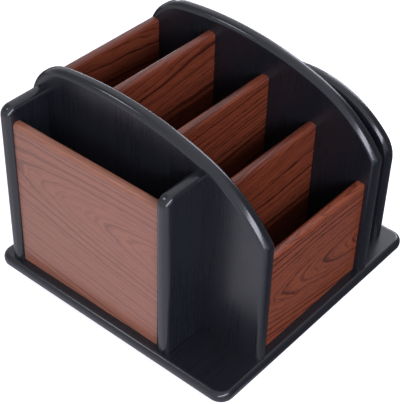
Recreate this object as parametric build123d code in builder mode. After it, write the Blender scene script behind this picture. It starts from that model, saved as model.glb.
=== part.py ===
from build123d import *
import math
import os

# Rotating desk organizer: arched black panels and veneered boards on a square plate,
# which turns on a ball bearing over a round foot.
#
# Millimetres.  +Z is up, -Y is the low front, +X is the side with the small arched panel.
# The origin lies on the turning axis, at the level of the surface that the organizer stands on.

os.makedirs("parts", exist_ok=True)

# --------------------------------------------------------------------------------------
# Driving dimensions
# --------------------------------------------------------------------------------------

# Stock
panel_thickness = 12.0        # black lacquered panels
board_thickness = 9.0         # veneered boards
plate_thickness = 10.5

# Four compartments in a row between the two large arches, front to rear
compartment_width = 125.0
front_compartment = 42.0
second_compartment = 40.0
third_compartment = 47.5
rear_compartment = 52.5
front_board_recess = 7.0      # front board behind the arches' front edges
back_board_recess = 5.0       # back board inside the arches' rear edges

# Heights above the plate
front_board_height = 91.0
front_divider_height = 124.0
middle_divider_height = 147.0
rear_divider_height = 164.0
back_board_height = 152.0

# Large arches: outline in side view, measured from the front edge and down from the top
arch_height = 178.0
arch_peak_reach = 162.0
arch_shoulder_reach = 64.0    # where the crown passes into the steeper shoulder
arch_shoulder_drop = 16.0
arch_nose_drop = 64.0         # front corner before rounding
arch_heel_drop = 10.0         # rear corner before rounding
arch_nose_radius = 10.0
arch_heel_radius = 43.0

# Pocket on the left: a veneered side panel between two black end walls
pocket_depth = 27.5           # clear, across
pocket_length = 148.5         # clear, front to rear
pocket_wall_height = 152.5
pocket_panel_height = 139.0
pocket_wall_proud = 4.0       # the walls stand out beyond the side panel
pocket_wall_radius = 9.0      # outer top corner
pocket_rear_margin = 11.5     # plate behind the rear wall

# Bay on the right, behind the small arched panel
side_bay_width = 31.5         # clear, across
side_bay_length = 138.0       # clear, front to rear
side_board_height = 80.0
side_board_recess = 7.0
outer_panel_height = 135.5
outer_panel_corner_drop = 43.0
outer_panel_corner_radius = 31.0
outer_panel_setback = 17.0    # plate in front of it

# Plate margins outside the panels
plate_left_margin = 5.5
plate_right_margin = 11.0
plate_end_margin = 3.25       # in front of the large arches, and behind them
plate_corner_radius = 12.0

# Rounded edges
panel_arris = 5.0             # nearly a full round on the black panels
board_arris = 3.5
plate_arris = 4.5

# Dowels and assembly screws
dowel_diameter = 5.0
dowel_in_panel = 5.0          # short, so that holes from both faces of a panel never meet
dowel_in_board = 11.0
dowel_drop = 30.0             # below the top of a board
wall_dowel_drop = 50.0
side_dowel_drop = 27.0
screw_diameter = 3.5
screw_head_diameter = 7.0
screw_length = 30.0
screw_end_distance = 28.0     # from the ends of a long panel
arch_screw_count = 3
outer_panel_screw_count = 2
side_panel_screw_count = 2

# Foot
foot_disc_radius = 100.0
foot_disc_thickness = 8.0
foot_disc_arris = 1.5
pad_diameter = 16.0
pad_height = 2.0
pad_chamfer = 0.5
pad_circle_radius = 86.0
pad_count = 6

# Turntable bearing: two rings with a ball race between them
ball_diameter = 5.0
ball_count = 12
ball_circle_radius = 60.0
bearing_height = 8.0
ring_wall = 4.0               # beside the race
ring_gap = 2.0                # between the two rings
flange_width = 11.0
flange_thickness = 2.5
cage_thickness = 1.2
ring_screw_count = 4
ring_screw_angle = 45.0       # from the +X axis, clear of the screws under the boards
ring_screw_length = 9.0
access_hole_diameter = 12.0   # in the foot disc, to reach the upper ring's screws

# Clearances
fit_clearance = 0.05          # round a dowel or a screw, on the radius
end_clearance = 0.5           # beyond the end of a dowel or a screw
running_clearance = 0.6       # between a turning face and a still one
race_clearance = 0.3          # between the balls and the turning race
seat_clearance = 0.1          # between the balls and the still race, and in the cage

# --------------------------------------------------------------------------------------
# Derived places
# --------------------------------------------------------------------------------------

pocket_wall_width = pocket_wall_proud + board_thickness + pocket_depth
arch_length = (front_board_recess + front_compartment + second_compartment
               + third_compartment + rear_compartment + 5 * board_thickness
               + back_board_recess)
outer_panel_length = side_bay_length + 2 * (board_thickness + side_board_recess)
plate_width = (plate_left_margin + pocket_wall_width + panel_thickness
               + compartment_width + panel_thickness + side_bay_width
               + panel_thickness + plate_right_margin)
plate_depth = arch_length + 2 * plate_end_margin

# Levels
foot_bottom = pad_height
foot_top = foot_bottom + foot_disc_thickness
plate_bottom = foot_top + bearing_height
floor = plate_bottom + plate_thickness

# Across, from the left edge of the plate
wall_outer_x = -plate_width / 2 + plate_left_margin
side_panel_x = wall_outer_x + pocket_wall_proud
left_arch_x = wall_outer_x + pocket_wall_width
left_inner_x = left_arch_x + panel_thickness
right_arch_x = left_inner_x + compartment_width
right_outer_x = right_arch_x + panel_thickness
outer_panel_x = right_outer_x + side_bay_width

# Front to rear, from the front edge of the plate
plate_front_y = -plate_depth / 2
arch_front_y = plate_front_y + plate_end_margin
front_board_y = arch_front_y + front_board_recess
front_divider_y = front_board_y + board_thickness + front_compartment
middle_divider_y = front_divider_y + board_thickness + second_compartment
rear_divider_y = middle_divider_y + board_thickness + third_compartment
back_board_y = rear_divider_y + board_thickness + rear_compartment
rear_wall_y = plate_depth / 2 - pocket_rear_margin - panel_thickness
front_wall_y = rear_wall_y - pocket_length - panel_thickness
outer_panel_y = plate_front_y + outer_panel_setback
side_front_board_y = outer_panel_y + side_board_recess
side_rear_board_y = side_front_board_y + board_thickness + side_bay_length

# Holes
dowel_hole_radius = dowel_diameter / 2 + fit_clearance
panel_hole_depth = dowel_in_panel + end_clearance
board_hole_depth = dowel_in_board + end_clearance
screw_hole_radius = screw_diameter / 2 + fit_clearance
screw_reach = screw_length - plate_thickness


# Each board is held by one dowel in either end and one screw from below
main_boards = [
    (front_board_y, front_board_height),
    (front_divider_y, front_divider_height),
    (middle_divider_y, middle_divider_height),
    (rear_divider_y, rear_divider_height),
    (back_board_y, back_board_height),
]
# (y of the middle plane, level) of the dowels that run across
main_dowels = [
    (y + board_thickness / 2, floor + height - dowel_drop) for y, height in main_boards
]
wall_dowels = [
    (y + panel_thickness / 2, floor + pocket_wall_height - wall_dowel_drop)
    for y in (front_wall_y, rear_wall_y)
]
side_dowels = [
    (y + board_thickness / 2, floor + side_board_height - side_dowel_drop)
    for y in (side_front_board_y, side_rear_board_y)
]
# (x of the middle plane, level) of the dowels that run front to rear
pocket_dowels = [
    (side_panel_x + board_thickness / 2, floor + pocket_panel_height - dowel_drop)
]


def spread(start, length, count):
    """Screw places along an edge: the same distance from both ends, evenly spaced."""
    step = (length - 2 * screw_end_distance) / (count - 1)
    return [start + screw_end_distance + step * index for index in range(count)]


# (x, y) of the screws that come up through the plate, for each piece that they hold
arch_screw_y = spread(arch_front_y, arch_length, arch_screw_count)
left_arch_screws = [(left_arch_x + panel_thickness / 2, y) for y in arch_screw_y]
right_arch_screws = [(right_arch_x + panel_thickness / 2, y) for y in arch_screw_y]
outer_panel_screws = [
    (outer_panel_x + panel_thickness / 2, y)
    for y in spread(outer_panel_y, outer_panel_length, outer_panel_screw_count)
]
side_panel_screws = [
    (side_panel_x + board_thickness / 2, y)
    for y in spread(front_wall_y + panel_thickness, pocket_length, side_panel_screw_count)
]
main_middle_x = left_inner_x + compartment_width / 2
side_middle_x = right_outer_x + side_bay_width / 2
wall_screw_x = wall_outer_x + pocket_wall_width / 2


main_board_screws = [(main_middle_x, y + board_thickness / 2) for y, height in main_boards]
wall_screws = [(wall_screw_x, y + panel_thickness / 2) for y in (front_wall_y, rear_wall_y)]
side_board_screws = [
    (side_middle_x, y + board_thickness / 2) for y in (side_front_board_y, side_rear_board_y)
]
plate_screws = (
    left_arch_screws + right_arch_screws + outer_panel_screws + side_panel_screws
    + main_board_screws + wall_screws + side_board_screws
)

# Bearing radii
upper_ring_outer = ball_circle_radius - ring_gap / 2
upper_ring_inner = upper_ring_outer - ring_wall
lower_ring_inner = ball_circle_radius + ring_gap / 2
lower_ring_outer = lower_ring_inner + ring_wall
upper_screw_radius = upper_ring_inner - flange_width / 2
lower_screw_radius = lower_ring_outer + flange_width / 2
ball_level = foot_top + bearing_height / 2


def save(piece, name):
    piece.part.label = name
    export_step(piece.part, f"parts/{name}.step")


# --------------------------------------------------------------------------------------
# Shared features
# --------------------------------------------------------------------------------------

def holes_across(face_x, places, depth):
    """Dowel holes along X from the plane x = face_x, deeper where depth is positive."""
    with BuildSketch(Plane.YZ.offset(face_x)) as circles:
        with Locations(*places):
            Circle(dowel_hole_radius)
    extrude(circles.sketch, amount=depth, mode=Mode.SUBTRACT)


def holes_lengthwise(face_y, places, depth):
    """Dowel holes along Y from the plane y = face_y, towards +Y where depth is positive."""
    along_y = Plane(origin=(0, face_y, 0), x_dir=(-1, 0, 0), z_dir=(0, 1, 0))
    with BuildSketch(along_y) as circles:
        with Locations(*[(-x, z) for x, z in places]):
            Circle(dowel_hole_radius)
    extrude(circles.sketch, amount=depth, mode=Mode.SUBTRACT)


def screw_holes(level, places, depth):
    """Pilot holes up from the plane z = level."""
    with BuildSketch(Plane.XY.offset(level)) as circles:
        with Locations(*places):
            Circle(screw_hole_radius)
    extrude(circles.sketch, amount=depth, mode=Mode.SUBTRACT)


def round_panel_edges(panel, axis, keep):
    """Rounds both rims of a black panel, but not where it stands on or meets another piece."""
    rims = panel.faces().sort_by(axis)[0].edges() + panel.faces().sort_by(axis)[-1].edges()
    fillet(rims.filter_by(keep), min(panel_arris, panel_thickness / 2 - end_clearance))


def above_floor(edge):
    return edge.center().Z > floor + end_clearance


def at_corner(corner):
    """Filter for the sketch vertex at this corner."""
    return lambda vertex: math.dist((vertex.X, vertex.Y), corner) < fit_clearance


# --------------------------------------------------------------------------------------
# Large arches
# --------------------------------------------------------------------------------------

def large_arch(near_x):
    """One large arched panel, whose left face lies in the plane x = near_x."""
    top = floor + arch_height
    rear_y = arch_front_y + arch_length
    nose = (arch_front_y, top - arch_nose_drop)
    shoulder = (arch_front_y + arch_shoulder_reach, top - arch_shoulder_drop)
    peak = (arch_front_y + arch_peak_reach, top)
    heel = (rear_y, top - arch_heel_drop)
    with BuildPart() as arch:
        with BuildSketch(Plane.YZ.offset(near_x)) as side_view:
            with BuildLine():
                Line((rear_y, floor), (arch_front_y, floor))
                Line((arch_front_y, floor), nose)
                crown = TangentArc(peak, shoulder, tangent=(-1, 0))
                TangentArc(shoulder, nose, tangent=crown % 1)
                TangentArc(peak, heel, tangent=(1, 0))
                Line(heel, (rear_y, floor))
            make_face()
            # In the sketch, X runs front to rear and Y is the level
            fillet(side_view.vertices().filter_by(at_corner(nose)), arch_nose_radius)
            fillet(side_view.vertices().filter_by(at_corner(heel)), arch_heel_radius)
        extrude(amount=panel_thickness)
        round_panel_edges(arch, Axis.X, above_floor)
    return arch


with BuildPart() as left_arch_panel:
    add(large_arch(left_arch_x).part)
    holes_across(left_inner_x, main_dowels, -panel_hole_depth)
    holes_across(left_arch_x, wall_dowels, panel_hole_depth)
    screw_holes(floor, left_arch_screws, screw_reach + end_clearance)
save(left_arch_panel, "left_arch_panel")

with BuildPart() as right_arch_panel:
    add(large_arch(right_arch_x).part)
    holes_across(right_arch_x, main_dowels, panel_hole_depth)
    holes_across(right_outer_x, side_dowels, -panel_hole_depth)
    screw_holes(floor, right_arch_screws, screw_reach + end_clearance)
save(right_arch_panel, "right_arch_panel")

# --------------------------------------------------------------------------------------
# Small arched panel on the right: one even curve with large rounded corners
# --------------------------------------------------------------------------------------

with BuildPart() as outer_right_panel:
    outer_top = floor + outer_panel_height
    outer_rear_y = outer_panel_y + outer_panel_length
    outer_peak = (outer_panel_y + outer_panel_length / 2, outer_top)
    outer_nose = (outer_panel_y, outer_top - outer_panel_corner_drop)
    outer_heel = (outer_rear_y, outer_top - outer_panel_corner_drop)
    with BuildSketch(Plane.YZ.offset(outer_panel_x)) as outer_view:
        with BuildLine():
            Line((outer_rear_y, floor), (outer_panel_y, floor))
            Line((outer_panel_y, floor), outer_nose)
            ThreePointArc(outer_nose, outer_peak, outer_heel)
            Line(outer_heel, (outer_rear_y, floor))
        make_face()
        fillet(outer_view.vertices().filter_by(at_corner(outer_nose)), outer_panel_corner_radius)
        fillet(outer_view.vertices().filter_by(at_corner(outer_heel)), outer_panel_corner_radius)
    extrude(amount=panel_thickness)
    round_panel_edges(outer_right_panel, Axis.X, above_floor)
    holes_across(outer_panel_x, side_dowels, panel_hole_depth)
    screw_holes(floor, outer_panel_screws, screw_reach + end_clearance)
save(outer_right_panel, "outer_right_panel")

# --------------------------------------------------------------------------------------
# Veneered boards that stand across, between two panels
# --------------------------------------------------------------------------------------

def cross_board(near_x, width, front_y, height, dowel, screw):
    """A board from x = near_x, with a dowel hole in both ends and a screw hole below."""
    with BuildPart() as board:
        with BuildSketch(Plane.XY.offset(floor)):
            with Locations((near_x + width / 2, front_y + board_thickness / 2)):
                Rectangle(width, board_thickness)
        extrude(amount=height)
        top_edges = board.edges().filter_by(Axis.X).group_by(Axis.Z)[-1]
        fillet(top_edges, min(board_arris, board_thickness / 2 - end_clearance))
        holes_across(near_x, [dowel], board_hole_depth)
        holes_across(near_x + width, [dowel], -board_hole_depth)
        screw_holes(floor, [screw], screw_reach + end_clearance)
    return board


main_board_names = ["front_board", "front_divider", "middle_divider", "rear_divider",
                    "back_board"]
for name, (board_y, board_height), dowel, screw in zip(
    main_board_names, main_boards, main_dowels, main_board_screws
):
    save(
        cross_board(left_inner_x, compartment_width, board_y, board_height, dowel, screw),
        name,
    )

side_boards = {
    "side_bay_front_board": side_front_board_y,
    "side_bay_rear_board": side_rear_board_y,
}
for (name, board_y), dowel, screw in zip(side_boards.items(), side_dowels, side_board_screws):
    save(
        cross_board(right_outer_x, side_bay_width, board_y, side_board_height, dowel, screw),
        name,
    )

# --------------------------------------------------------------------------------------
# Pocket on the left
# --------------------------------------------------------------------------------------

def clear_of_arch(edge):
    """Above the plate, and not against the left arch."""
    return above_floor(edge) and edge.center().X < left_arch_x - end_clearance


def pocket_wall(front_y, panel_face_y, panel_hole_direction, dowel, screw):
    """A black end wall with one rounded top corner, against the left arch."""
    facing_front = Plane(origin=(0, front_y + panel_thickness, 0), x_dir=(1, 0, 0),
                         z_dir=(0, -1, 0))
    with BuildPart() as wall:
        with BuildSketch(facing_front) as front_view:
            with Locations((wall_outer_x, floor)):
                Rectangle(pocket_wall_width, pocket_wall_height, align=Align.MIN)
            outer_corner = front_view.vertices().group_by(Axis.Y)[-1].sort_by(Axis.X)[0]
            fillet(outer_corner, pocket_wall_radius)
        extrude(amount=panel_thickness)
        round_panel_edges(wall, Axis.Y, clear_of_arch)
        holes_across(left_arch_x, [dowel], -board_hole_depth)
        holes_lengthwise(panel_face_y, pocket_dowels, panel_hole_direction * panel_hole_depth)
        screw_holes(floor, [screw], screw_reach + end_clearance)
    return wall


pocket_front_y = front_wall_y + panel_thickness
save(
    pocket_wall(front_wall_y, pocket_front_y, -1, wall_dowels[0], wall_screws[0]),
    "pocket_front_wall",
)
save(
    pocket_wall(rear_wall_y, rear_wall_y, 1, wall_dowels[1], wall_screws[1]),
    "pocket_rear_wall",
)

with BuildPart() as pocket_side_panel:
    with BuildSketch(Plane.XY.offset(floor)):
        with Locations((side_panel_x, pocket_front_y)):
            Rectangle(board_thickness, pocket_length, align=Align.MIN)
    extrude(amount=pocket_panel_height)
    panel_top = pocket_side_panel.edges().filter_by(Axis.Y).group_by(Axis.Z)[-1]
    fillet(panel_top, min(board_arris, board_thickness / 2 - end_clearance))
    holes_lengthwise(pocket_front_y, pocket_dowels, board_hole_depth)
    holes_lengthwise(rear_wall_y, pocket_dowels, -board_hole_depth)
    screw_holes(floor, side_panel_screws, screw_reach + end_clearance)
save(pocket_side_panel, "pocket_side_panel")

# --------------------------------------------------------------------------------------
# Plate
# --------------------------------------------------------------------------------------

with BuildPart() as base_plate:
    with BuildSketch(Plane.XY.offset(plate_bottom)):
        RectangleRounded(plate_width, plate_depth, plate_corner_radius)
    extrude(amount=plate_thickness)
    rims = base_plate.faces().filter_by(Axis.Z).edges()
    fillet(rims, min(plate_arris, plate_thickness / 2 - end_clearance))
    # Screws for the panels are countersunk in the underside
    with Locations(*[Plane((x, y, plate_bottom), z_dir=(0, 0, -1)) for x, y in plate_screws]):
        CounterSinkHole(
            screw_hole_radius, screw_head_diameter / 2 + fit_clearance, plate_thickness
        )
    # Blind holes for the screws of the bearing's upper ring
    with BuildSketch(Plane.XY.offset(plate_bottom)):
        with PolarLocations(upper_screw_radius, ring_screw_count, ring_screw_angle):
            Circle(screw_hole_radius)
    extrude(amount=ring_screw_length - flange_thickness + end_clearance, mode=Mode.SUBTRACT)
save(base_plate, "base_plate")

# --------------------------------------------------------------------------------------
# Dowels and screws, each kind a group of separate solids
# --------------------------------------------------------------------------------------

def dowels_across(face_x, places, into_panel):
    """Dowels along X through a joint face; the panel lies in the direction into_panel."""
    start = face_x + into_panel * dowel_in_panel
    with BuildSketch(Plane.YZ.offset(start)) as circles:
        with Locations(*places):
            Circle(dowel_diameter / 2)
    extrude(circles.sketch, amount=-into_panel * (dowel_in_panel + dowel_in_board))


with BuildPart() as divider_dowels:
    dowels_across(left_inner_x, main_dowels, -1)
    dowels_across(right_arch_x, main_dowels, 1)
save(divider_dowels, "divider_dowels")

with BuildPart() as side_bay_dowels:
    dowels_across(right_outer_x, side_dowels, -1)
    dowels_across(outer_panel_x, side_dowels, 1)
save(side_bay_dowels, "side_bay_dowels")

with BuildPart() as pocket_joint_dowels:
    dowels_across(left_arch_x, wall_dowels, 1)
    for joint_y, into_wall in [(pocket_front_y, -1), (rear_wall_y, 1)]:
        dowel_end = Plane(origin=(0, joint_y + into_wall * dowel_in_panel, 0),
                          x_dir=(-1, 0, 0), z_dir=(0, 1, 0))
        with BuildSketch(dowel_end):
            with Locations(*[(-x, z) for x, z in pocket_dowels]):
                Circle(dowel_diameter / 2)
        extrude(amount=-into_wall * (dowel_in_panel + dowel_in_board))
save(pocket_joint_dowels, "pocket_dowels")


def countersunk_screw(length):
    """A countersunk wood screw along +Z, the flat of its head in the plane z = 0."""
    head_height = (screw_head_diameter - screw_diameter) / 2
    with BuildPart(mode=Mode.PRIVATE) as screw:
        with BuildSketch(Plane.XZ):
            with BuildLine():
                Polyline(
                    (0, 0),
                    (screw_head_diameter / 2, 0),
                    (screw_diameter / 2, head_height),
                    (screw_diameter / 2, length - screw_diameter),
                    (0, length),
                    close=True,
                )
            make_face()
        revolve(axis=Axis.Z)
    return screw.part


plate_screw = countersunk_screw(screw_length)
ring_screw = countersunk_screw(ring_screw_length)

with BuildPart() as panel_screws:
    with Locations(*[(x, y, plate_bottom) for x, y in plate_screws]):
        add(plate_screw)
save(panel_screws, "panel_screws")

# --------------------------------------------------------------------------------------
# Turntable bearing
# --------------------------------------------------------------------------------------

def ball_race(clearance):
    """The groove that the balls run in, cut round the ring."""
    with BuildSketch(Plane.XZ) as section:
        with Locations((ball_circle_radius, ball_level)):
            Circle(ball_diameter / 2 + clearance)
    revolve(section.sketch, axis=Axis.Z, mode=Mode.SUBTRACT)


with BuildPart() as bearing_lower_ring:
    with BuildSketch(Plane.XZ):
        with Locations((lower_ring_inner, foot_top)):
            Rectangle(ring_wall, bearing_height - running_clearance, align=Align.MIN)
            Rectangle(ring_wall + flange_width, flange_thickness, align=Align.MIN)
    revolve(axis=Axis.Z)
    ball_race(seat_clearance)
    with Locations(Plane.XY.offset(foot_top + flange_thickness)):
        with PolarLocations(lower_screw_radius, ring_screw_count, ring_screw_angle):
            CounterSinkHole(
                screw_hole_radius, screw_head_diameter / 2 + fit_clearance, flange_thickness
            )
save(bearing_lower_ring, "bearing_lower_ring")

with BuildPart() as bearing_upper_ring:
    with BuildSketch(Plane.XZ):
        with Locations((upper_ring_outer, plate_bottom)):
            Rectangle(ring_wall, bearing_height - running_clearance, align=Align.MAX)
            Rectangle(ring_wall + flange_width, flange_thickness, align=Align.MAX)
    revolve(axis=Axis.Z)
    ball_race(race_clearance)
    under_flange = Plane((0, 0, plate_bottom - flange_thickness), z_dir=(0, 0, -1))
    with Locations(under_flange):
        with PolarLocations(upper_screw_radius, ring_screw_count, ring_screw_angle):
            CounterSinkHole(
                screw_hole_radius, screw_head_diameter / 2 + fit_clearance, flange_thickness
            )
save(bearing_upper_ring, "bearing_upper_ring")

with BuildPart() as bearing_cage:
    with BuildSketch(Plane.XY.offset(foot_top + running_clearance)):
        Circle(ball_circle_radius + cage_thickness / 2)
        Circle(ball_circle_radius - cage_thickness / 2, mode=Mode.SUBTRACT)
    extrude(amount=bearing_height - 2 * running_clearance)
    with Locations((0, 0, ball_level)):
        with PolarLocations(ball_circle_radius, ball_count):
            Cylinder(ball_diameter / 2 + seat_clearance, ring_gap, rotation=(0, 90, 0),
                     mode=Mode.SUBTRACT)
save(bearing_cage, "bearing_cage")

with BuildPart() as bearing_balls:
    with Locations((0, 0, ball_level)):
        with PolarLocations(ball_circle_radius, ball_count):
            Sphere(ball_diameter / 2)
save(bearing_balls, "bearing_balls")

with BuildPart() as lower_ring_screws:
    with Locations(Plane((0, 0, foot_top + flange_thickness), z_dir=(0, 0, -1))):
        with PolarLocations(lower_screw_radius, ring_screw_count, ring_screw_angle):
            add(ring_screw)
save(lower_ring_screws, "lower_ring_screws")

with BuildPart() as upper_ring_screws:
    with Locations((0, 0, plate_bottom - flange_thickness)):
        with PolarLocations(upper_screw_radius, ring_screw_count, ring_screw_angle):
            add(ring_screw)
save(upper_ring_screws, "upper_ring_screws")

# --------------------------------------------------------------------------------------
# Foot
# --------------------------------------------------------------------------------------

with BuildPart() as foot_disc:
    with BuildSketch(Plane.XY.offset(foot_bottom)):
        Circle(foot_disc_radius)
    extrude(amount=foot_disc_thickness)
    fillet(foot_disc.edges(), min(foot_disc_arris, foot_disc_thickness / 2 - end_clearance))
    # Screws of the lower ring
    with BuildSketch(Plane.XY.offset(foot_top)):
        with PolarLocations(lower_screw_radius, ring_screw_count, ring_screw_angle):
            Circle(screw_hole_radius)
    extrude(amount=-(ring_screw_length - flange_thickness + end_clearance),
            mode=Mode.SUBTRACT)
    # One screw of the upper ring at a time is reached through this hole
    with Locations((upper_screw_radius, 0, foot_top)):
        Hole(access_hole_diameter / 2, foot_disc_thickness)
save(foot_disc, "foot_disc")

with BuildPart() as foot_pads:
    with BuildSketch():
        with PolarLocations(pad_circle_radius, pad_count):
            Circle(pad_diameter / 2)
    extrude(amount=pad_height)
    chamfer(foot_pads.faces().group_by(Axis.Z)[0].edges(), min(pad_chamfer, pad_height / 2))
save(foot_pads, "foot_pads")
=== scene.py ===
# %% [markdown]
# # A rotating desk organizer
# Black arch-shaped panels carry red-brown veneered boards over a square plate, and the plate
# turns on a low round foot. The solids come ready made from the frame, in metres, with +Z up and
# the low front towards -Y. This lesson adds what the solids lack: a camera and a small studio,
# lacquer, veneer, metal and rubber finishes, and the screws in full detail.

# %% Load the frame
import math

import bmesh
import bpy
from mathutils import Matrix, Vector


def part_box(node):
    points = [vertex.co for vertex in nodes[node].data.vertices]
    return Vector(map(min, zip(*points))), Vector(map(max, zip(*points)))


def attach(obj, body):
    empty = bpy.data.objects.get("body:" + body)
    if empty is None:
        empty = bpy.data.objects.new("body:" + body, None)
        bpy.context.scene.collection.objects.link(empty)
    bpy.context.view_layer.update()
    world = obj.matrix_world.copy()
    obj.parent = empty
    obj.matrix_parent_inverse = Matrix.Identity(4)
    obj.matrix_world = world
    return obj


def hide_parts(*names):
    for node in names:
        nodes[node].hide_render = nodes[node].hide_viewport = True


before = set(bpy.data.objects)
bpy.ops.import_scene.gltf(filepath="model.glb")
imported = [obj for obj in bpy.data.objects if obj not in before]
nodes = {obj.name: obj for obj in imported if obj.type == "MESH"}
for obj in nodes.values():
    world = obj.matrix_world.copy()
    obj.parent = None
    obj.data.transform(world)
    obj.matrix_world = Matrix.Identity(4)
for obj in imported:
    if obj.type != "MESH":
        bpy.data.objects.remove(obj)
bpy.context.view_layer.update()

# %% [markdown]
# ## Helpers
# A maker writes down lengths in millimetres and colours as hex codes. Blender wants metres and
# linear light, so two small functions turn one into the other. A third one adds a node to any
# tree, shader or geometry, with its settings, its values and its links in a single call.

# %% Millimetres, colours and nodes
MM = 0.001


def hex_colour(code):
    """A hex colour, as seen on a screen, as linear red, green, blue and a full alpha."""
    channels = [int(code[i:i + 2], 16) / 255 for i in (1, 3, 5)]
    linear = [c / 12.92 if c <= 0.04045 else ((c + 0.055) / 1.055) ** 2.4 for c in channels]
    return (*linear, 1.0)


def add_node(tree, kind, inputs=None, stops=None, **settings):
    """Adds a node. An input takes a value or another node's output; stops fill a colour ramp."""
    made = tree.nodes.new(kind)
    for name, value in settings.items():
        setattr(made, name, value)
    for key, value in (inputs or {}).items():
        if isinstance(value, bpy.types.NodeSocket):
            tree.links.new(value, made.inputs[key])
        else:
            made.inputs[key].default_value = value
    if stops:
        elements = made.color_ramp.elements
        for place, colour in stops[1:-1]:
            elements.new(place).color = colour
        elements[0].position, elements[0].color = stops[0]
        elements[len(elements) - 1].position, elements[len(elements) - 1].color = stops[-1]
    return made


def new_material(name):
    """An empty material, its node tree and the node that waits for a shader."""
    material = bpy.data.materials.new(name)
    material.use_nodes = True
    material.node_tree.nodes.clear()
    return material, material.node_tree, material.node_tree.nodes.new("ShaderNodeOutputMaterial")


print("a mid grey of #808080 is", round(hex_colour("#808080")[0], 3), "in linear light")

# %% [markdown]
# ## The camera
# The picture was taken with a long lens from the front left, well above the organizer. The angles,
# the distance and the lens were worked out from straight edges of known direction, so that the
# edges of the render fall where they should. The camera's own axes are built by hand, because it
# also leans over a little.

# %% Camera
CAMERA_AZIMUTH = math.radians(-50.85)
CAMERA_ELEVATION = math.radians(39.70)
CAMERA_ROLL = math.radians(1.87)
CAMERA_DISTANCE = 956.2 * MM
CAMERA_TARGET = Vector((-13.32, -3.88, 84.72)) * MM
LENS_LENGTH = 104.54
SENSOR_SIDE = 36.0

backwards = Vector((
    math.sin(CAMERA_AZIMUTH) * math.cos(CAMERA_ELEVATION),
    -math.cos(CAMERA_AZIMUTH) * math.cos(CAMERA_ELEVATION),
    math.sin(CAMERA_ELEVATION),
))
level_right = Vector((0, 0, 1)).cross(backwards).normalized()
steep_up = backwards.cross(level_right)
camera_right = level_right * math.cos(CAMERA_ROLL) + steep_up * math.sin(CAMERA_ROLL)
camera_up = backwards.cross(camera_right)

camera = bpy.data.objects.new("camera", bpy.data.cameras.new("camera"))
bpy.context.scene.collection.objects.link(camera)
camera.data.lens = LENS_LENGTH
camera.data.sensor_width = SENSOR_SIDE
camera.matrix_world = (
    Matrix.Translation(CAMERA_TARGET + backwards * CAMERA_DISTANCE)
    @ Matrix((camera_right, camera_up, backwards)).transposed().to_4x4()
)
bpy.context.scene.camera = camera
bpy.context.scene.view_settings.view_transform = "Standard"
print("camera at", [round(c, 3) for c in camera.matrix_world.translation])

# %% [markdown]
# ## The studio
# The organizer stands on a pale table in soft light. Satin black shows little colour of its own
# and is drawn by what it mirrors, so the lights were placed by working out, for each rounded edge
# and flat face, from where its shine must come: a long leaning strip box at the left front, a
# smaller box low on the right, a small one high at the left rear, and a thin one just above the
# table at the right rear, which draws the bright line along the arches. The corner of the room at
# the right front stays dark, and the table's colour and glow are painted darker there as painted
# shade, which keeps the faces on that side rich.
# The camera sees the table as white, with the organizer's soft shadow on it. The glow that lifts
# it is met only by the camera and by mirrored rays, so it adds no light to matt surfaces.

# %% Table
TABLE_SIDE = 8.0
TABLE_COLOUR = hex_colour("#C8C5D2")
TABLE_GLOW = 0.55             # emission that lifts the paper towards white where it is seen
CAMERA_SHARE = 1.4            # the camera alone sees the table this much brighter
# Painted shade on the table: its colour and glow, as mirrored rays and matt surfaces meet them,
# are darker away from this direction, down to DARK_SIDE at the right front.
TOWARDS_BRIGHT = (-0.996, 0.087, 0.0)
DARK_SIDE = 0.10              # what is left of the table's light away from that direction
DARK_UP_TO, BRIGHT_FROM = 0.05, 0.95    # cosines of the angle from that direction

table_mesh = bpy.data.meshes.new("table")
table_mesh.from_pydata(
    [(x * TABLE_SIDE / 2, y * TABLE_SIDE / 2, 0) for x, y in ((-1, -1), (1, -1), (1, 1), (-1, 1))],
    [], [(0, 1, 2, 3)])
table = bpy.data.objects.new("table", table_mesh)
bpy.context.scene.collection.objects.link(table)

paper, tree, output = new_material("matt_white_paper")
path = add_node(tree, "ShaderNodeLightPath")
place = add_node(tree, "ShaderNodeTexCoord")
outward = add_node(tree, "ShaderNodeVectorMath", {
    0: place.outputs["Object"]}, operation="NORMALIZE")
across = add_node(tree, "ShaderNodeVectorMath", {
    0: outward.outputs["Vector"], 1: TOWARDS_BRIGHT}, operation="DOT_PRODUCT")
lit = add_node(tree, "ShaderNodeMapRange", {
    "Value": across.outputs["Value"], "From Min": DARK_UP_TO, "From Max": BRIGHT_FROM,
    "To Min": DARK_SIDE, "To Max": 1.0}, interpolation_type="SMOOTHSTEP")
brightness = add_node(tree, "ShaderNodeMix", {
    0: path.outputs["Is Camera Ray"], 2: lit.outputs["Result"], 3: CAMERA_SHARE})
straight = add_node(tree, "ShaderNodeMath", {
    0: path.outputs["Is Camera Ray"], 1: path.outputs["Is Transmission Ray"]}, operation="MAXIMUM")
seen = add_node(tree, "ShaderNodeMath", {
    0: straight.outputs[0], 1: path.outputs["Is Glossy Ray"]}, operation="MAXIMUM")
glow = add_node(tree, "ShaderNodeMath", {
    0: seen.outputs[0], 1: brightness.outputs[0]}, operation="MULTIPLY")
strength = add_node(tree, "ShaderNodeMath", {
    0: glow.outputs[0], 1: TABLE_GLOW}, operation="MULTIPLY")
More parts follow.
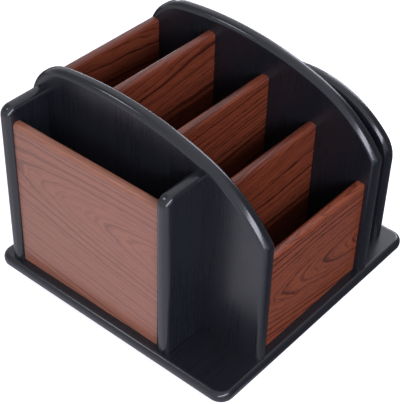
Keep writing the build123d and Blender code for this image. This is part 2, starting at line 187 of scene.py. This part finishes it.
# The paper's colour with that painted shade in it; the camera sees it CAMERA_SHARE brighter
# instead.
painted_shade_colour = add_node(tree, "ShaderNodeVectorMath", {
    0: TABLE_COLOUR[:3], "Scale": brightness.outputs[0]}, operation="SCALE")
matt = add_node(tree, "ShaderNodeBsdfDiffuse", {"Color": painted_shade_colour.outputs["Vector"]})
glowing = add_node(tree, "ShaderNodeEmission", {
    "Color": (1, 1, 1, 1), "Strength": strength.outputs[0]})
lit_paper = add_node(tree, "ShaderNodeAddShader", {0: matt.outputs[0], 1: glowing.outputs[0]})
tree.links.new(lit_paper.outputs[0], output.inputs["Surface"])
table_mesh.materials.append(paper)
print(f"the table is {TABLE_SIDE:.0f} m square")

# %% World
ROOM_LIGHT = 0.95
ROOM_COLOUR = hex_colour("#F8F8FF")
DEPTH_SHARE = 0.38            # of the room's light on matt surfaces; it keeps deep places dark
# The room's two darker parts: the direction, the share of the light that is left there, and the
# cosines of the angle at which the darkening starts and is complete.
DARKER_PARTS = (
    ((0.75, -0.63, 0.17), 0.2, 0.6, 0.95),      # right front, just above the table
    ((-0.27, 0.74, 0.62), 0.5, 0.75, 0.95),     # high at the rear
)

world = bpy.data.worlds.new("studio")
bpy.context.scene.world = world
world.use_nodes = True
tree = world.node_tree
tree.nodes.clear()
path = add_node(tree, "ShaderNodeLightPath")
place = add_node(tree, "ShaderNodeTexCoord")
shares = []
for direction, share, start, full in DARKER_PARTS:
    nearness = add_node(tree, "ShaderNodeVectorMath", {
        0: place.outputs["Generated"], 1: direction}, operation="DOT_PRODUCT")
    shares.append(add_node(tree, "ShaderNodeMapRange", {
        "Value": nearness.outputs["Value"], "From Min": start, "From Max": full,
        "To Min": 1.0, "To Max": share}, interpolation_type="SMOOTHSTEP"))
shaded = add_node(tree, "ShaderNodeMath", {
    0: shares[0].outputs["Result"], 1: shares[1].outputs["Result"]}, operation="MULTIPLY")
matt_share = add_node(tree, "ShaderNodeMix", {
    0: path.outputs["Is Diffuse Ray"], 2: ROOM_LIGHT, 3: ROOM_LIGHT * DEPTH_SHARE})
surroundings = add_node(tree, "ShaderNodeMath", {
    0: shaded.outputs[0], 1: matt_share.outputs[0]}, operation="MULTIPLY")
level = add_node(tree, "ShaderNodeMix", {
    0: path.outputs["Is Camera Ray"], 2: surroundings.outputs[0], 3: 1.0})
room = add_node(tree, "ShaderNodeBackground", {
    "Color": ROOM_COLOUR, "Strength": level.outputs[0]})
add_node(tree, "ShaderNodeOutputWorld", {"Surface": room.outputs[0]})
print("the room has", len(DARKER_PARTS), "darker parts")

# %% Soft boxes
BOX_AIM = Vector((0, 0, 90 * MM))
BOX_DISTANCE = 1.5            # metres, as the boxes' own sizes are
SOFT_BOX_COLOUR = hex_colour("#EEEFFF")[:3]


def soft_box(name, azimuth, elevation, roll, width, height, radiance):
    """An area lamp on a sphere round the organizer, with azimuth 0 at -Y and 90 at +X. The angles
    are in degrees. radiance is how bright its mirror image is, whatever its size."""
    a, e = math.radians(azimuth), math.radians(elevation)
    direction = Vector((math.sin(a) * math.cos(e), -math.cos(a) * math.cos(e), math.sin(e)))
    lamp = bpy.data.lights.new(name, "AREA")
    lamp.shape = "RECTANGLE"
    lamp.size = width
    lamp.size_y = height
    lamp.energy = radiance * math.pi * width * height
    lamp.color = SOFT_BOX_COLOUR
    box = bpy.data.objects.new(name, lamp)
    bpy.context.scene.collection.objects.link(box)
    level_side = Vector((0, 0, 1)).cross(direction).normalized()
    facing = Matrix((level_side, direction.cross(level_side), direction)).transposed().to_4x4()
    turned = facing @ Matrix.Rotation(math.radians(roll), 4, "Z")
    box.matrix_world = Matrix.Translation(BOX_AIM + direction * BOX_DISTANCE) @ turned
    box.visible_camera = False
    print(f"{name}: {lamp.energy:.1f} W at", [round(c, 2) for c in box.location])


soft_box("strip_box", -33, 28.5, 29, 2.05, 0.38, 10.0)
soft_box("right_box", 95, 27, 0, 0.65, 0.6, 4.2)
soft_box("rear_left_box", -135, 48, 0, 0.25, 0.35, 7.0)
soft_box("low_rear_box", 120, 9, 0, 1.3, 0.12, 6.0)

# %% [markdown]
# ## Black satin lacquer
# The panels are fibreboard, sprayed black and rubbed to a satin. Straight fibres of the paper-thin
# face layer still telegraph through on the flats as fine upright lines, while the rounded edges,
# sanded before spraying, stay smooth and shine more. So the finish first finds how flat a place is
# from its normal, and then mixes a smooth edge with a flat whose long noise moves roughness and
# a bump of a few hundredths of a millimetre. The real fibres are finer than a pixel, so they are
# drawn about a millimetre wide. Lacquer is a clear film with a refractive index near 1.5, and the
# black has a trace of blue. The foot's lacquer was left matt and is a plain, warmer black.

# %% Stretched noise
TO_MM = 1 / MM
NOISE_LOW, NOISE_HIGH = 0.3, 0.7        # nearly all of a noise's values lie between these


def stretched_noise(tree, vector, size, detail, roughness=0.5, unit=1.0):
    """Noise whose marks have a size in millimetres along x, y and z. unit is 1 for a vector in
    millimetres and TO_MM for one in metres."""
    scaled = add_node(tree, "ShaderNodeMapping", {
        "Vector": vector, "Scale": [unit / length for length in size]})
    return add_node(tree, "ShaderNodeTexNoise", {
        "Vector": scaled.outputs[0], "Scale": 1.0, "Detail": detail, "Roughness": roughness})


print(f"coordinates in metres are multiplied by {TO_MM:.0f} before a size in millimetres")

# %% Lacquer
FIBRE_LENGTH = 40.0           # millimetres
FIBRE_WIDTH = 1.1
CLOUD_SIZE = 35.0             # slow changes of the satin
UNEVEN_LOW, UNEVEN_HIGH = 0.7, 1.3      # range of the fibres and the clouds together
EDGE_UP_TO, FLAT_FROM = 0.96, 0.999     # largest part of the normal; a flat has 1
SATIN_SPREAD = 0.05           # how far the roughness of a flat wanders either way
LACQUER_IOR = 1.52


def lacquer(name, colour, edge_roughness, flat_roughness, grain_axis, bump_height):
    """Sprayed lacquer between two tones. Fibres along grain_axis show on its flats, with a bump
    in millimetres."""
    made, tree, output = new_material(name)
    place = add_node(tree, "ShaderNodeTexCoord")
    sides = add_node(tree, "ShaderNodeVectorMath", {
        0: place.outputs["Normal"]}, operation="ABSOLUTE")
    along = add_node(tree, "ShaderNodeSeparateXYZ", {0: sides.outputs["Vector"]})
    level_side = add_node(tree, "ShaderNodeMath", {
        0: along.outputs["X"], 1: along.outputs["Y"]}, operation="MAXIMUM")
    squareness = add_node(tree, "ShaderNodeMath", {
        0: level_side.outputs[0], 1: along.outputs["Z"]}, operation="MAXIMUM")
    flatness = add_node(tree, "ShaderNodeMapRange", {
        "Value": squareness.outputs[0], "From Min": EDGE_UP_TO, "From Max": FLAT_FROM})
    fibre = [FIBRE_LENGTH if axis == grain_axis else FIBRE_WIDTH for axis in "xyz"]
    fibres = stretched_noise(tree, place.outputs["Object"], fibre, 3.0, 0.6, TO_MM)
    clouds = add_node(tree, "ShaderNodeTexNoise", {
        "Vector": place.outputs["Object"], "Scale": TO_MM / CLOUD_SIZE, "Detail": 2.0})
    tone = add_node(tree, "ShaderNodeValToRGB", {"Fac": fibres.outputs["Fac"]}, stops=[
        (NOISE_LOW, hex_colour(colour[0])), (NOISE_HIGH, hex_colour(colour[1]))])
    uneven = add_node(tree, "ShaderNodeMath", {
        0: fibres.outputs["Fac"], 1: clouds.outputs["Fac"]}, operation="ADD")
    flat_satin = add_node(tree, "ShaderNodeMapRange", {
        "Value": uneven.outputs[0], "From Min": UNEVEN_LOW, "From Max": UNEVEN_HIGH,
        "To Min": flat_roughness - SATIN_SPREAD, "To Max": flat_roughness + SATIN_SPREAD})
    satin = add_node(tree, "ShaderNodeMix", {
        0: flatness.outputs["Result"], 2: edge_roughness, 3: flat_satin.outputs["Result"]})
    relief = add_node(tree, "ShaderNodeBump", {
        "Height": fibres.outputs["Fac"], "Distance": bump_height * MM,
        "Strength": flatness.outputs["Result"]})
    shader = add_node(tree, "ShaderNodeBsdfPrincipled", {
        "Base Color": tone.outputs["Color"], "Roughness": satin.outputs[0],
        "IOR": LACQUER_IOR, "Normal": relief.outputs["Normal"]})
    tree.links.new(shader.outputs[0], output.inputs["Surface"])
    return made


print("fibres are drawn", FIBRE_WIDTH, "mm wide and", FIBRE_LENGTH, "mm long")

# %% The black pieces
BLACK = ("#131519", "#1C1E24")
FOOT_BLACK = ("#131315", "#1D1D20")
upright_lacquer = lacquer("satin_black_lacquer_upright", BLACK, 0.17, 0.30, "z", 0.035)
plate_lacquer = lacquer("satin_black_lacquer_plate", BLACK, 0.17, 0.30, "x", 0.02)
foot_lacquer = lacquer("matt_black_foot_lacquer", FOOT_BLACK, 0.42, 0.5, "y", 0.02)
LACQUERED = {
    "left_arch_panel": upright_lacquer, "right_arch_panel": upright_lacquer,
    "outer_right_panel": upright_lacquer, "pocket_front_wall": upright_lacquer,
    "pocket_rear_wall": upright_lacquer, "base_plate": plate_lacquer,
    "foot_disc": foot_lacquer}
for node_name, material in LACQUERED.items():
    nodes[node_name].material_slots[0].material = material
print("lacquered", len(LACQUERED), "pieces")

# %% [markdown]
# ## Rosewood-coloured veneer
# A plain-sliced veneer is cut from a log nearly along its axis, so each board shows growth rings
# as long streaks which close into pointed arches where the cut runs closest to the heart. The
# finish repeats that geometry: it measures the distance from a slightly tilted log axis, bends it
# with slow noise, and turns it into streaks of uneven width. Fine fibres and short dark pores
# lie along the grain. Each board has its own log, so no two boards match. The front board and
# the bay's two boards have deep red-brown leaves. A paler leaf on the pocket's side panel is
# painted light, where more light falls, and darker leaves on the boards behind the front one are
# painted shade, deep in the compartments. The thin satin varnish over them has a refractive index
# of about 1.5.

# %% Veneer
DEEP_LEAF = [hex_colour(code) for code in ("#2E130D", "#763723", "#9B5135")]
# Painted shade: a darker leaf for the boards deep in the compartments, where less light reaches.
PAINTED_SHADE_LEAF = [hex_colour(code) for code in ("#28100B", "#652D1D", "#89452D")]
# Painted light: a paler leaf for the pocket's side panel, on which more light falls.
PAINTED_LIGHT_LEAF = [hex_colour(code) for code in ("#7A4D40", "#975F4A", "#AC7259")]
RING_SPACING = 2.7            # size of the noise across the rings, in millimetres
STREAK_WANDER = 3.0           # millimetres that a ring strays from a perfect circle
BEND_SIZE = (90, 24, 24)      # sizes along, across and into the grain, in millimetres
FIBRE_SIZE = (30, 0.9, 0.9)
PORE_SIZE = (14, 0.55, 0.55)  # real pores are finer, and wouldn't show
STREAK_DARK, STREAK_PLAIN = 0.33, 0.5   # values of the rings' noise in a streak and beside it
PORE_DARK, PORE_PLAIN = 0.22, 0.42      # and of the pores' noise
LEAF_STOPS = (0.22, 0.66, 0.92)         # where a leaf's three colours lie in the figure
FIBRE_SHARE = 0.42            # of the figure; the streaks have the rest
ROUGHEST, SMOOTHEST = 0.36, 0.26        # the varnish over soft and over hard fibres
PORE_DEPTH = 0.04             # millimetres
VARNISH_IOR = 1.5


def veneer(name, centre, heart, lean, turn, leaf):
    """Veneer on a board. centre is the board's, in metres. heart is the log axis's depth and
    height from there in millimetres, and lean is how far the log is tilted in depth and in
    height. turn lays the grain along another level axis. Both are in degrees. leaf has the
    streaks' colour, the wood's and its lightest."""
    made, tree, output = new_material(name)
    place = add_node(tree, "ShaderNodeTexCoord")
    board = add_node(tree, "ShaderNodeMapping", {
        "Vector": place.outputs["Object"], "Location": centre,
        "Rotation": (0, 0, math.radians(turn)), "Scale": (MM, MM, MM)}, vector_type="TEXTURE")
    log = add_node(tree, "ShaderNodeMapping", {
        "Vector": board.outputs[0], "Location": (0, heart[0], heart[1]),
        "Rotation": (0, math.radians(lean[1]), math.radians(lean[0]))}, vector_type="TEXTURE")
    wander = stretched_noise(tree, board.outputs[0], BEND_SIZE, 4.0, 0.6)
    centred = add_node(tree, "ShaderNodeVectorMath", {
        0: wander.outputs["Color"], 1: (0.5, 0.5, 0.5)}, operation="SUBTRACT")
    bent = add_node(tree, "ShaderNodeVectorMath", {
        0: centred.outputs[0], 1: (2 * STREAK_WANDER,) * 3, 2: log.outputs[0]},
        operation="MULTIPLY_ADD")
    radial = add_node(tree, "ShaderNodeVectorMath", {
        0: bent.outputs[0], 1: (0, 1, 1)}, operation="MULTIPLY")
    radius = add_node(tree, "ShaderNodeVectorMath", {0: radial.outputs[0]}, operation="LENGTH")
    rings = add_node(tree, "ShaderNodeTexNoise", {
        "W": radius.outputs["Value"], "Scale": 1 / RING_SPACING, "Detail": 6.0,
        "Roughness": 0.75}, noise_dimensions="1D")
    streaks = add_node(tree, "ShaderNodeMapRange", {
        "Value": rings.outputs["Fac"], "From Min": STREAK_DARK, "From Max": STREAK_PLAIN})
    fibres = stretched_noise(tree, board.outputs[0], FIBRE_SIZE, 3.0, 0.65)
    dashes = stretched_noise(tree, board.outputs[0], PORE_SIZE, 1.0)
    pores = add_node(tree, "ShaderNodeMapRange", {
        "Value": dashes.outputs["Fac"], "From Min": PORE_DARK, "From Max": PORE_PLAIN})
    blend = add_node(tree, "ShaderNodeMix", {
        0: FIBRE_SHARE, 2: streaks.outputs["Result"], 3: fibres.outputs["Fac"]})
    wood = add_node(tree, "ShaderNodeValToRGB", {"Fac": blend.outputs[0]},
        stops=list(zip(LEAF_STOPS, leaf)))
    porous = add_node(tree, "ShaderNodeMix", {
        "Factor": pores.outputs["Result"], "A": leaf[0], "B": wood.outputs["Color"]},
        data_type="RGBA")
    satin = add_node(tree, "ShaderNodeMapRange", {
        "Value": fibres.outputs["Fac"], "From Min": NOISE_LOW, "From Max": NOISE_HIGH,
        "To Min": ROUGHEST, "To Max": SMOOTHEST})
    relief = add_node(tree, "ShaderNodeBump", {
        "Height": pores.outputs["Result"], "Distance": PORE_DEPTH * MM, "Strength": 0.6})
    shader = add_node(tree, "ShaderNodeBsdfPrincipled", {
        "Base Color": porous.outputs["Result"], "Roughness": satin.outputs["Result"],
        "IOR": VARNISH_IOR, "Normal": relief.outputs["Normal"]})
    tree.links.new(shader.outputs[0], output.inputs["Surface"])
    return made


print("pores are drawn", PORE_SIZE[1], "mm wide and", PORE_SIZE[0], "mm long")

# %% The boards
# Each board's heart, lean, turn and leaf. A heart near the board gives pointed arches, and a far
# one gives nearly straight streaks. The darker leaves on the boards behind the front one are
# painted shade, and the pale leaf on the pocket's side panel is painted light.
BOARDS = {
    "front_board": ((13, -3), (-8, 5), 0, DEEP_LEAF),
    "front_divider": ((45, 70), (4, 2), 0, PAINTED_SHADE_LEAF),
    "middle_divider": ((-50, -60), (4, -2), 0, PAINTED_SHADE_LEAF),
    "rear_divider": ((60, 95), (4, 2), 0, PAINTED_SHADE_LEAF),
    "back_board": ((50, 90), (-3, 2), 0, PAINTED_SHADE_LEAF),
    "pocket_side_panel": ((30, 24), (7, -5), 90, PAINTED_LIGHT_LEAF),
    "side_bay_front_board": ((40, 20), (4, 0), 0, DEEP_LEAF),
    "side_bay_rear_board": ((-45, 10), (4, 0), 0, DEEP_LEAF),
}
for board_name, (heart, lean, turn, leaf) in BOARDS.items():
    low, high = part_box(board_name)
    nodes[board_name].material_slots[0].material = veneer(
        "rosewood_veneer_" + board_name, (low + high) / 2, heart, lean, turn, leaf)
print("veneered", len(BOARDS), "boards")

# %% [markdown]
# ## The other finishes
# The rest hides under the plate and inside the joints, but it is real stuff too. Dowels are
# turned beech, pale with short flecks along the rod. The bearing's rings are turned aluminium, and
# the lathe leaves fine circles round the axis. Balls are polished hard steel, the cage is natural
# nylon, slightly cloudy, screws are zinc plated with a bluish cast, and the pads are rubber with a
# fine moulded grain. One function makes them all from a stretched noise of a real size.

# %% Beech, metals, nylon and rubber
RUB_SPREAD = 0.2              # share by which the marks change the roughness either way


def finish(name, tones, pattern, roughness, relief, turned=False, **surface):
    """One stuff. pattern is the size of its marks along x, y and z in millimetres, relief their
    height; turned lays them round the upright axis, with x as the radius."""
    made, tree, output = new_material(name)
    place = add_node(tree, "ShaderNodeTexCoord").outputs["Object"]
    if turned:
        level_part = add_node(tree, "ShaderNodeVectorMath", {
            0: place, 1: (1, 1, 0)}, operation="MULTIPLY")
        radius = add_node(tree, "ShaderNodeVectorMath", {
            0: level_part.outputs[0]}, operation="LENGTH")
        height = add_node(tree, "ShaderNodeSeparateXYZ", {0: place})
        place = add_node(tree, "ShaderNodeCombineXYZ", {
            "X": radius.outputs["Value"], "Z": height.outputs["Z"]}).outputs[0]
    marks = stretched_noise(tree, place, pattern, 3.0, 0.6, TO_MM)
    tone = add_node(tree, "ShaderNodeValToRGB", {"Fac": marks.outputs["Fac"]}, stops=[
        (NOISE_LOW, hex_colour(tones[0])), (NOISE_HIGH, hex_colour(tones[1]))])
    rub = add_node(tree, "ShaderNodeMapRange", {
        "Value": marks.outputs["Fac"], "From Min": NOISE_LOW, "From Max": NOISE_HIGH,
        "To Min": roughness * (1 - RUB_SPREAD), "To Max": roughness * (1 + RUB_SPREAD)})
    bumps = add_node(tree, "ShaderNodeBump", {
        "Height": marks.outputs["Fac"], "Distance": relief * MM, "Strength": 1.0})
    shader = add_node(tree, "ShaderNodeBsdfPrincipled", {
        "Base Color": tone.outputs["Color"], "Roughness": rub.outputs["Result"],
        "Normal": bumps.outputs["Normal"], **surface})
    tree.links.new(shader.outputs[0], output.inputs["Surface"])
    return made


BEECH = ("#C79A68", "#DDB98A")
beech_across = finish("turned_beech_across", BEECH, (9, 0.7, 0.7), 0.55, 0.03)
beech_along = finish("turned_beech_along", BEECH, (0.7, 9, 0.7), 0.55, 0.03)
aluminium = finish("turned_aluminium", ("#A9ABAE", "#C9CBCE"), (0.25, 1, 0.25), 0.3, 0.01,
                   turned=True, Metallic=1.0)
ball_steel = finish("polished_ball_steel", ("#BDBEC0", "#CFD0D2"), (2, 2, 2), 0.08, 0.001,
                    Metallic=1.0)
zinc = finish("bright_zinc_plating", ("#AEB3BC", "#CDD1D8"), (0.6, 0.6, 0.6), 0.3, 0.01,
              Metallic=1.0)
nylon = finish("natural_nylon", ("#DAD5C6", "#EAE6DA"), (3, 3, 3), 0.45, 0.02, IOR=1.53)
rubber = finish("moulded_black_rubber", ("#171718", "#222223"), (0.5, 0.5, 0.5), 0.75, 0.05,
                IOR=1.52)
FINISHED = {
    "divider_dowels": beech_across, "side_bay_dowels": beech_across,
    "pocket_dowels": beech_along, "bearing_upper_ring": aluminium,
    "bearing_lower_ring": aluminium, "bearing_balls": ball_steel,
    "bearing_cage": nylon, "foot_pads": rubber}
for node_name, material in FINISHED.items():
    nodes[node_name].material_slots[0].material = material
print("finished", len(FINISHED), "more pieces; the zinc waits for the screws")

# %% [markdown]
# ## Countersunk screws
# The solids show each screw as a smooth pin with a flat head. A real one has a cross recess in
# the head for the driver and a sharp thread that climbs round the shank, and its recess ends up at
# any angle. One screw is built as a mesh: rings of points whose radius follows the climbing
# ridge, a head closed by a face with a cross-shaped hole, and the tapering pocket below that hole.
# The modifier tree then sets a copy at each screw's place and turns it by a random angle.

# %% One screw
HEAD_RADIUS = 3.5 * MM
SHANK_RADIUS = 1.75 * MM
CORE_RADIUS = 1.2 * MM
HEAD_HEIGHT = HEAD_RADIUS - SHANK_RADIUS
TIP_LENGTH = 3.5 * MM
THREAD_PITCH = 1.6 * MM
RIDGE_HALF_WIDTH = 0.3        # of the thread's ridge at its foot, as a share of the pitch
RINGS_PER_TURN = 5
SIDES = 24
CROSS_REACH = 1.9 * MM
CROSS_HALF_WIDTH = 0.42 * MM
CROSS_DEPTH = 1.4 * MM
CROSS_TAPER = 0.5             # size of the recess's floor, as a share of its mouth


def screw(name, length):
    """A countersunk cross-head screw along +Z, the flat of its head at z = 0."""
    work = bmesh.new()
    angles = [2 * math.pi * side / SIDES for side in range(SIDES)]
    heights = [0.0, HEAD_HEIGHT]
    while heights[-1] < length - THREAD_PITCH / RINGS_PER_TURN:
        heights.append(heights[-1] + THREAD_PITCH / RINGS_PER_TURN)
    rings = []
    for index, z in enumerate(heights):
        slenderness = min(1.0, (length - z) / TIP_LENGTH)
        ring = []
        for angle in angles:
            phase = (z / THREAD_PITCH - angle / (2 * math.pi)) % 1.0
            ridge = max(0.0, 1 - abs(phase - 0.5) / RIDGE_HALF_WIDTH)
            radius = slenderness * (CORE_RADIUS + ridge * (SHANK_RADIUS - CORE_RADIUS))
            if index < 2:     # the cone of the head has two plain rings
                radius = (HEAD_RADIUS, SHANK_RADIUS)[index]
            ring.append(work.verts.new((radius * math.cos(angle), radius * math.sin(angle), z)))
        rings.append(ring)
    tip = work.verts.new((0, 0, length))
    for below, above in zip(rings, rings[1:]):
        for i in range(SIDES):
            work.faces.new((below[i], below[(i + 1) % SIDES], above[(i + 1) % SIDES], above[i]))
    for i in range(SIDES):
        work.faces.new((rings[-1][i], rings[-1][(i + 1) % SIDES], tip))
    arm, half = CROSS_REACH, CROSS_HALF_WIDTH
    corner = [(arm, -half), (arm, half), (half, half)]
    outline = [(x * c - y * s, x * s + y * c)
               for c, s in ((1, 0), (0, 1), (-1, 0), (0, -1)) for x, y in corner]
    mouth = [work.verts.new((x, y, 0)) for x, y in outline]
    floor = [work.verts.new((x * CROSS_TAPER, y * CROSS_TAPER, CROSS_DEPTH)) for x, y in outline]
    count = len(outline)
    for i in range(count):
        work.faces.new((mouth[i], mouth[(i + 1) % count], floor[(i + 1) % count], floor[i]))
    work.faces.new(floor)
    rim = [work.edges.get((rings[0][i], rings[0][(i + 1) % SIDES])) for i in range(SIDES)]
    lip = [work.edges.get((mouth[i], mouth[(i + 1) % count])) for i in range(count)]
    bmesh.ops.triangle_fill(work, use_beauty=True, edges=rim + lip)
    bmesh.ops.recalc_face_normals(work, faces=work.faces)
    mesh = bpy.data.meshes.new(name)
    work.to_mesh(mesh)
    work.free()
    return bpy.data.objects.new(name, mesh)


# %% The tree that sets the screws
screw_tree = bpy.data.node_groups.new("set_screws", "GeometryNodeTree")
sockets = {}
for name, kind in (("Places", "Geometry"), ("Screw", "Object"), ("Facing", "Vector"),
                   ("Seed", "Int"), ("Finish", "Material")):
    socket = screw_tree.interface.new_socket(
        name=name, in_out="INPUT", socket_type="NodeSocket" + kind)
    sockets[name] = socket.identifier
screw_tree.interface.new_socket(name="Geometry", in_out="OUTPUT", socket_type="NodeSocketGeometry")
given = add_node(screw_tree, "NodeGroupInput")
model = add_node(screw_tree, "GeometryNodeObjectInfo", {"Object": given.outputs["Screw"]})
turn = add_node(screw_tree, "FunctionNodeRandomValue", {
    0: (0, 0, 0), 1: (0, 0, 2 * math.pi),
    "Seed": given.outputs["Seed"]}, data_type="FLOAT_VECTOR")
angle = add_node(screw_tree, "ShaderNodeVectorMath", {
    0: turn.outputs[0], 1: given.outputs["Facing"]}, operation="ADD")
placed = add_node(screw_tree, "GeometryNodeInstanceOnPoints", {
    "Points": given.outputs["Places"], "Instance": model.outputs["Geometry"],
    "Rotation": angle.outputs[0]})
solid = add_node(screw_tree, "GeometryNodeRealizeInstances", {
    "Geometry": placed.outputs["Instances"]})
painted = add_node(screw_tree, "GeometryNodeSetMaterial", {
    "Geometry": solid.outputs["Geometry"], "Material": given.outputs["Finish"]})
add_node(screw_tree, "NodeGroupOutput", {"Geometry": painted.outputs["Geometry"]})
print("the tree takes", ", ".join(sockets))

# %% [markdown]
# ## Setting the screws
# The solids already hold the place of each screw, so nothing is typed in twice: a node's mesh is
# merged and split into its separate pins, and the middle of each pin's flat end becomes a point.
# The tree turns these points into screws, and the result is kept as one plain mesh for each node.

# %% Place the screws
MERGE_DISTANCE = 0.001 * MM
SHARP_ANGLE = math.radians(40)


def solid_boxes(node):
    """The lowest and highest corner of each separate solid of a node."""
    work = bmesh.new()
    work.from_mesh(nodes[node].data)
    bmesh.ops.remove_doubles(work, verts=work.verts, dist=MERGE_DISTANCE)
    seen, boxes = set(), []
    for start in work.verts:
        if start in seen:
            continue
        seen.add(start)
        group = [start]
        for vertex in group:
            for edge in vertex.link_edges:
                other = edge.other_vert(vertex)
                if other not in seen:
                    seen.add(other)
                    group.append(other)
        boxes.append((Vector([min(v.co[k] for v in group) for k in range(3)]),
                      Vector([max(v.co[k] for v in group) for k in range(3)])))
    work.free()
    return boxes


def set_screws(node, body, facing_down, seed):
    """Real screws at the places of a node's pins, as one mesh that rides on a body. seed gives
    each node's recesses their own angles."""
    boxes = solid_boxes(node)
    length = boxes[0][1].z - boxes[0][0].z
    heads = [((low.x + high.x) / 2, (low.y + high.y) / 2, high.z if facing_down else low.z)
             for low, high in boxes]
    points = bpy.data.meshes.new("crosshead_" + node)
    points.from_pydata(heads, [], [])
    piece = bpy.data.objects.new("crosshead_" + node, points)
    bpy.context.scene.collection.objects.link(piece)
    model = screw("one_of_" + node, length)
    setter = piece.modifiers.new("set_screws", "NODES")
    setter.node_group = screw_tree
    setter[sockets["Screw"]] = model
    setter[sockets["Facing"]] = (math.pi, 0.0, 0.0) if facing_down else (0.0, 0.0, 0.0)
    setter[sockets["Seed"]] = seed
    setter[sockets["Finish"]] = zinc
    graph = bpy.context.evaluated_depsgraph_get()
    mesh = bpy.data.meshes.new_from_object(piece.evaluated_get(graph), depsgraph=graph)
    piece.modifiers.clear()
    piece.data = mesh
    bpy.data.objects.remove(model)
    mesh.shade_smooth()
    mesh.set_sharp_from_angle(angle=SHARP_ANGLE)
    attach(piece, body)
    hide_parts(node)
    print(piece.name, "has", len(heads), "screws and", len(mesh.polygons), "faces")


set_screws("panel_screws", "carousel", False, 3)
set_screws("upper_ring_screws", "carousel", False, 5)
set_screws("lower_ring_screws", "foot", True, 8)
